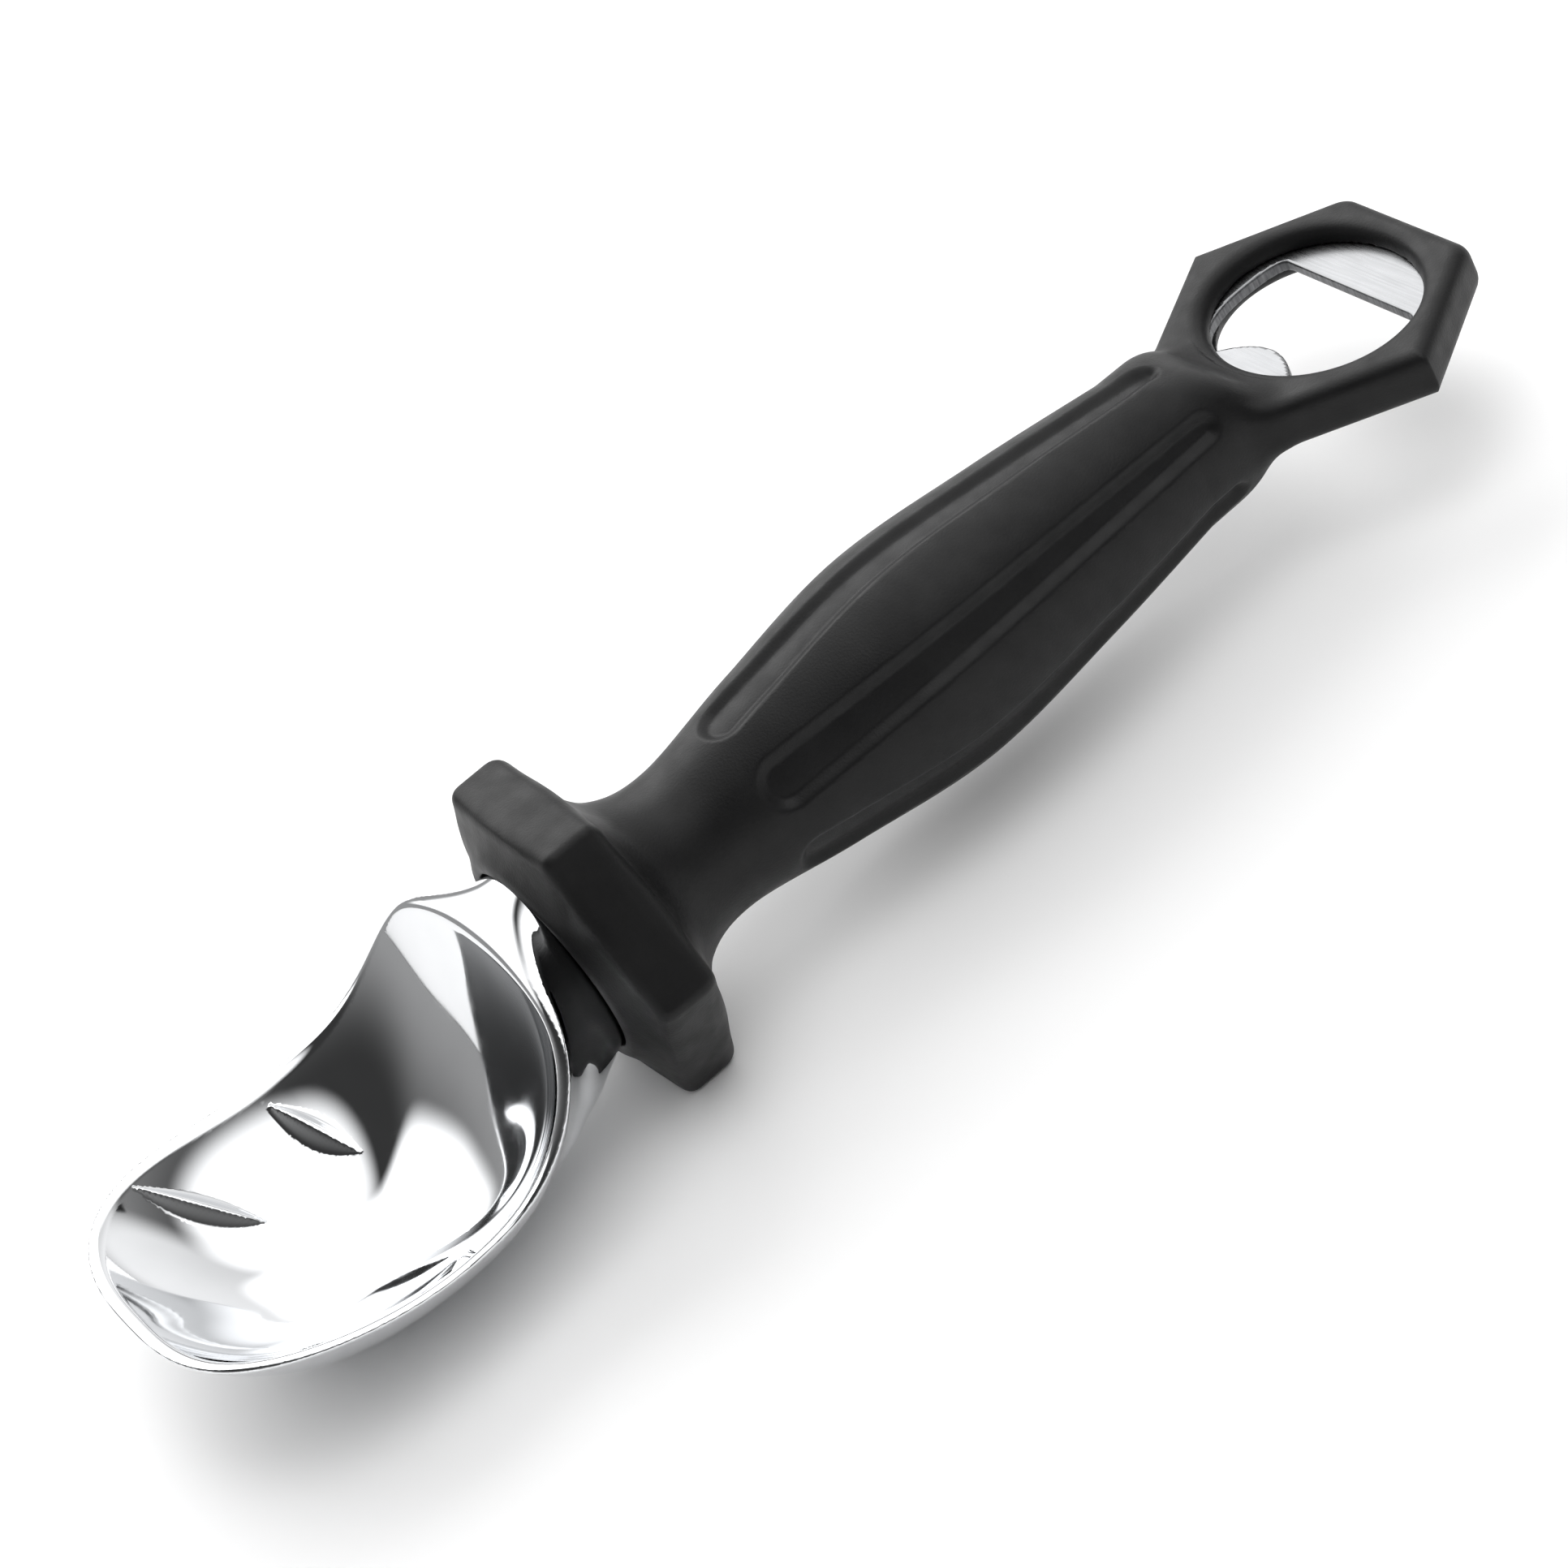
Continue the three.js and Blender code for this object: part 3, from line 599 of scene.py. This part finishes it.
def make_plate():
    margin = 1.0
    side = HOLE_HALF_WIDTH + PLATE_BITE + margin
    low = (-side, PLATE_TAIL_Y - margin, -PLATE_THICKNESS / 2 - margin)
    back = HOLE_MIDDLE_Y + HOLE_HALF_LENGTH + PLATE_BITE
    high = (side, back + margin, PLATE_THICKNESS / 2 + margin)
    piece = carved("opener_steel_plate", plate_distance, low, high)
    piece.data.materials.append(steel_material())
    piece.data.materials.append(sheared_material())
    for face in piece.data.polygons:
        face.material_index = int(abs(face.normal.z) < SHEARED_TILT)
    return piece


# Materials: noise is spread between these two of its values
NOISE_LOW, NOISE_HIGH = 0.3, 0.7


def material(name, colour, roughness, metallic=0.0):
    made = bpy.data.materials.new(name)
    made.use_nodes = True
    shader = made.node_tree.nodes["Principled BSDF"]
    shader.inputs["Base Color"].default_value = (*colour, 1)
    shader.inputs["Roughness"].default_value = roughness
    shader.inputs["Metallic"].default_value = metallic
    return made, made.node_tree, shader


def noise(tree, scale, stretch=(1, 1, 1), detail=3.0):
    """Noise fixed to the object, stretched along its axes."""
    place = tree.nodes.new("ShaderNodeTexCoord")
    mapping = tree.nodes.new("ShaderNodeMapping")
    mapping.inputs["Scale"].default_value = stretch
    made = tree.nodes.new("ShaderNodeTexNoise")
    made.inputs["Scale"].default_value = scale
    made.inputs["Detail"].default_value = detail
    tree.links.new(place.outputs["Object"], mapping.inputs["Vector"])
    tree.links.new(mapping.outputs["Vector"], made.inputs["Vector"])
    return made.outputs["Fac"]


def vary(tree, value, low, high, socket):
    """Sends a noise to a socket, spread between two values."""
    spread = tree.nodes.new("ShaderNodeMapRange")
    spread.inputs["From Min"].default_value = NOISE_LOW
    spread.inputs["From Max"].default_value = NOISE_HIGH
    spread.inputs["To Min"].default_value = low
    spread.inputs["To Max"].default_value = high
    tree.links.new(value, spread.inputs["Value"])
    tree.links.new(spread.outputs["Result"], socket)


def tint(tree, value, dark, light, socket):
    ramp = tree.nodes.new("ShaderNodeValToRGB")
    ramp.color_ramp.elements[0].position = NOISE_LOW
    ramp.color_ramp.elements[1].position = NOISE_HIGH
    ramp.color_ramp.elements[0].color = (*dark, 1)
    ramp.color_ramp.elements[1].color = (*light, 1)
    tree.links.new(value, ramp.inputs["Fac"])
    tree.links.new(ramp.outputs["Color"], socket)


def rough_up(tree, shader, height, depth, strength):
    """Bumps the surface by a noise; depth in metres."""
    bump = tree.nodes.new("ShaderNodeBump")
    bump.inputs["Strength"].default_value = strength
    bump.inputs["Distance"].default_value = depth
    tree.links.new(height, bump.inputs["Height"])
    tree.links.new(bump.outputs["Normal"], shader.inputs["Normal"])


def chrome_material():
    """Plating on a casting: a clear mirror with faint waves and slight clouding."""
    made, tree, shader = material("mirror_chrome", (0.82, 0.83, 0.845), 0.05, 1.0)
    tint(tree, noise(tree, 90), (0.80, 0.81, 0.825), (0.85, 0.86, 0.875), shader.inputs["Base Color"])
    vary(tree, noise(tree, 300), 0.03, 0.075, shader.inputs["Roughness"])
    rough_up(tree, shader, noise(tree, 110, detail=0.0), 0.00012, 0.25)
    return made


def soft_material():
    """Soft-touch moulding: near black, with a fine grain and a broad dull sheen."""
    made, tree, shader = material("soft_black", (0.0045, 0.0045, 0.0048), 0.48)
    dark, light = (0.0035, 0.0035, 0.0038), (0.006, 0.006, 0.0063)
    tint(tree, noise(tree, 140), dark, light, shader.inputs["Base Color"])
    vary(tree, noise(tree, 260), 0.42, 0.54, shader.inputs["Roughness"])
    shader.inputs["Specular IOR Level"].default_value = 0.3
    rough_up(tree, shader, noise(tree, 3200, detail=2.0), 0.00006, 0.5)
    return made


def steel_material():
    """Stamped and polished steel, with faint polishing marks across the opener."""
    made, tree, shader = material("polished_steel", (0.26, 0.263, 0.269), 0.28, 1.0)
    marks = noise(tree, 1.0, (120, 3500, 800))
    tint(tree, noise(tree, 120), (0.245, 0.248, 0.254), (0.275, 0.278, 0.284), shader.inputs["Base Color"])
    vary(tree, marks, 0.24, 0.32, shader.inputs["Roughness"])
    return made


def sheared_material():
    """Rough sheared edge of the stamping."""
    made, tree, shader = material("sheared_steel", (0.17, 0.172, 0.178), 0.45, 1.0)
    streaks = noise(tree, 1.0, (2500, 2500, 300))
    tint(tree, streaks, (0.11, 0.112, 0.116), (0.24, 0.243, 0.25), shader.inputs["Base Color"])
    rough_up(tree, shader, streaks, 0.00005, 0.4)
    return made


def inner_steel_material():
    """Plain rolled steel of the tang and the pins."""
    made, tree, shader = material("rolled_steel", (0.5, 0.505, 0.515), 0.35, 1.0)
    tint(tree, noise(tree, 400), (0.45, 0.455, 0.465), (0.56, 0.565, 0.575), shader.inputs["Base Color"])
    vary(tree, noise(tree, 1.0, (2000, 150, 2000)), 0.3, 0.45, shader.inputs["Roughness"])
    return made


def core_material():
    """Moulded plastic of the two core halves."""
    made, tree, shader = material("core_plastic", (0.03, 0.03, 0.032), 0.5)
    tint(tree, noise(tree, 250), (0.024, 0.024, 0.026), (0.036, 0.036, 0.038), shader.inputs["Base Color"])
    rough_up(tree, shader, noise(tree, 1500), 0.0001, 0.4)
    return made


# Stage: the camera in the handle's frame and in the photo's pixels, the rest in metres

CAMERA_PLACE = (428.58, -98.02, 322.83)
CAMERA_FORWARD = (-0.7769, 0.2227, -0.5889)
CAMERA_RIGHT = (0.5244, 0.7465, -0.4095)
PHOTO_SIZE = 1932
FOCAL_PIXELS = 5627
SENSOR = 36.0
CAMERA_REACH = 10.0
HORIZON_LIGHT = 0.35
OVERHEAD_LIGHT = 0.04
HORIZON_FADE = 0.85
PANEL_EDGE = 0.5
FLOOR_HALF_SIZE = 3.0
FLOOR_GAP = 0.0002

# Light panels: name, place, width and height, brightness, and whether mirrors show them
PANELS = (
    ("back_box", (-1.2, 0.0, 0.9), (2.6, 1.7), 2.9, True),
    ("top_box", (0.0, 0.42, 1.2), (2.5, 1.7), 1.6, True),
    ("end_box", (-0.8, 1.2, 0.6), (2.8, 1.8), 0.7, True),
    ("floor_fill", (0.7, -0.2, 1.7), (2.8, 2.8), 1.7, False),
)


def make_camera():
    data = bpy.data.cameras.new("camera")
    data.sensor_width = SENSOR
    data.lens = FOCAL_PIXELS / PHOTO_SIZE * SENSOR
    data.clip_end = CAMERA_REACH
    camera = bpy.data.objects.new("camera", data)
    forward = Vector(CAMERA_FORWARD).normalized()
    right = Vector(CAMERA_RIGHT)
    right = (right - forward * right.dot(forward)).normalized()
    up = right.cross(forward)
    place = Vector((np.array(CAMERA_PLACE) + AXIS_ORIGIN) * MM)
    turn = Matrix((right, up, -forward)).transposed().to_4x4()
    camera.matrix_world = Matrix.Translation(place) @ turn
    bpy.context.scene.collection.objects.link(camera)
    bpy.context.scene.camera = camera


def soft_box(name, place, size, brightness, in_reflections):
    """A light panel facing the middle of the scoop, which fades towards its edge."""
    data = bpy.data.lights.new(name, "AREA")
    data.shape = "RECTANGLE"
    data.size, data.size_y = size
    data.energy = brightness * math.pi * size[0] * size[1]
    fade_out(data)
    lamp = bpy.data.objects.new(name, data)
    lamp.location = place
    lamp.rotation_euler = (-Vector(place)).to_track_quat("-Z", "Y").to_euler()
    lamp.visible_glossy = in_reflections
    bpy.context.scene.collection.objects.link(lamp)


def fade_out(data):
    """Makes a panel brightest in its middle, by the place on the panel itself."""
    data.use_nodes = True
    tree = data.node_tree
    place = tree.nodes.new("ShaderNodeNewGeometry")
    centred = tree.nodes.new("ShaderNodeMapping")
    centred.inputs["Location"].default_value = (-1, -1, 0)
    centred.inputs["Scale"].default_value = (2, 2, 1)
    gradient = tree.nodes.new("ShaderNodeTexGradient")
    gradient.gradient_type = "SPHERICAL"
    fade = tree.nodes.new("ShaderNodeMapRange")
    fade.interpolation_type = "SMOOTHSTEP"
    fade.inputs["From Max"].default_value = PANEL_EDGE
    tree.links.new(place.outputs["Parametric"], centred.inputs["Vector"])
    tree.links.new(centred.outputs["Vector"], gradient.inputs["Vector"])
    tree.links.new(gradient.outputs["Fac"], fade.inputs["Value"])
    tree.links.new(fade.outputs["Result"], tree.nodes["Emission"].inputs["Strength"])


def make_floor():
    mesh = bpy.data.meshes.new("floor")
    half, down = FLOOR_HALF_SIZE, -FLOOR_GAP
    corners = [(-half, -half, down), (half, -half, down), (half, half, down), (-half, half, down)]
    mesh.from_pydata(corners, [], [(0, 1, 2, 3)])
    floor = bpy.data.objects.new("floor", mesh)
    made, tree, shader = material("pale_floor", (0.9, 0.9, 0.9), 0.7)
    vary(tree, noise(tree, 30), 0.65, 0.75, shader.inputs["Roughness"])
    mesh.materials.append(made)
    bpy.context.scene.collection.objects.link(floor)


def make_world():
    """A plain backdrop all round, pale at the horizon and dark overhead."""
    world = bpy.data.worlds.new("studio")
    world.use_nodes = True
    tree = world.node_tree
    background = tree.nodes["Background"]
    background.inputs["Color"].default_value = (1, 1, 1, 1)
    place = tree.nodes.new("ShaderNodeTexCoord")
    height = tree.nodes.new("ShaderNodeSeparateXYZ")
    fade = tree.nodes.new("ShaderNodeMapRange")
    fade.interpolation_type = "SMOOTHSTEP"
    fade.inputs["From Min"].default_value = 0.0
    fade.inputs["From Max"].default_value = HORIZON_FADE
    fade.inputs["To Min"].default_value = HORIZON_LIGHT
    fade.inputs["To Max"].default_value = OVERHEAD_LIGHT
    tree.links.new(place.outputs["Generated"], height.inputs["Vector"])
    tree.links.new(height.outputs["Z"], fade.inputs["Value"])
    tree.links.new(fade.outputs["Result"], background.inputs["Strength"])
    bpy.context.scene.world = world


def make_stage():
    bpy.context.scene.view_settings.view_transform = "Standard"
    make_world()
    make_floor()
    for panel in PANELS:
        soft_box(*panel)


def dress(piece, node):
    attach(piece, "root")
    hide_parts(node)


def clothe(nodes, made):
    """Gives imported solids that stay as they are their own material."""
    for node in nodes:
        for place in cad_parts[node].material_slots:
            place.material = made


make_camera()
make_stage()
dress(make_head(), "scoop_head")
dress(make_skin(), "grip_skin")
dress(make_plate(), "opener_plate")
clothe(("tang", "tang_pin_front", "tang_pin_rear", "opener_pin"), inner_steel_material())
clothe(("core_upper", "core_lower"), core_material())

bpy.context.view_layer.update()
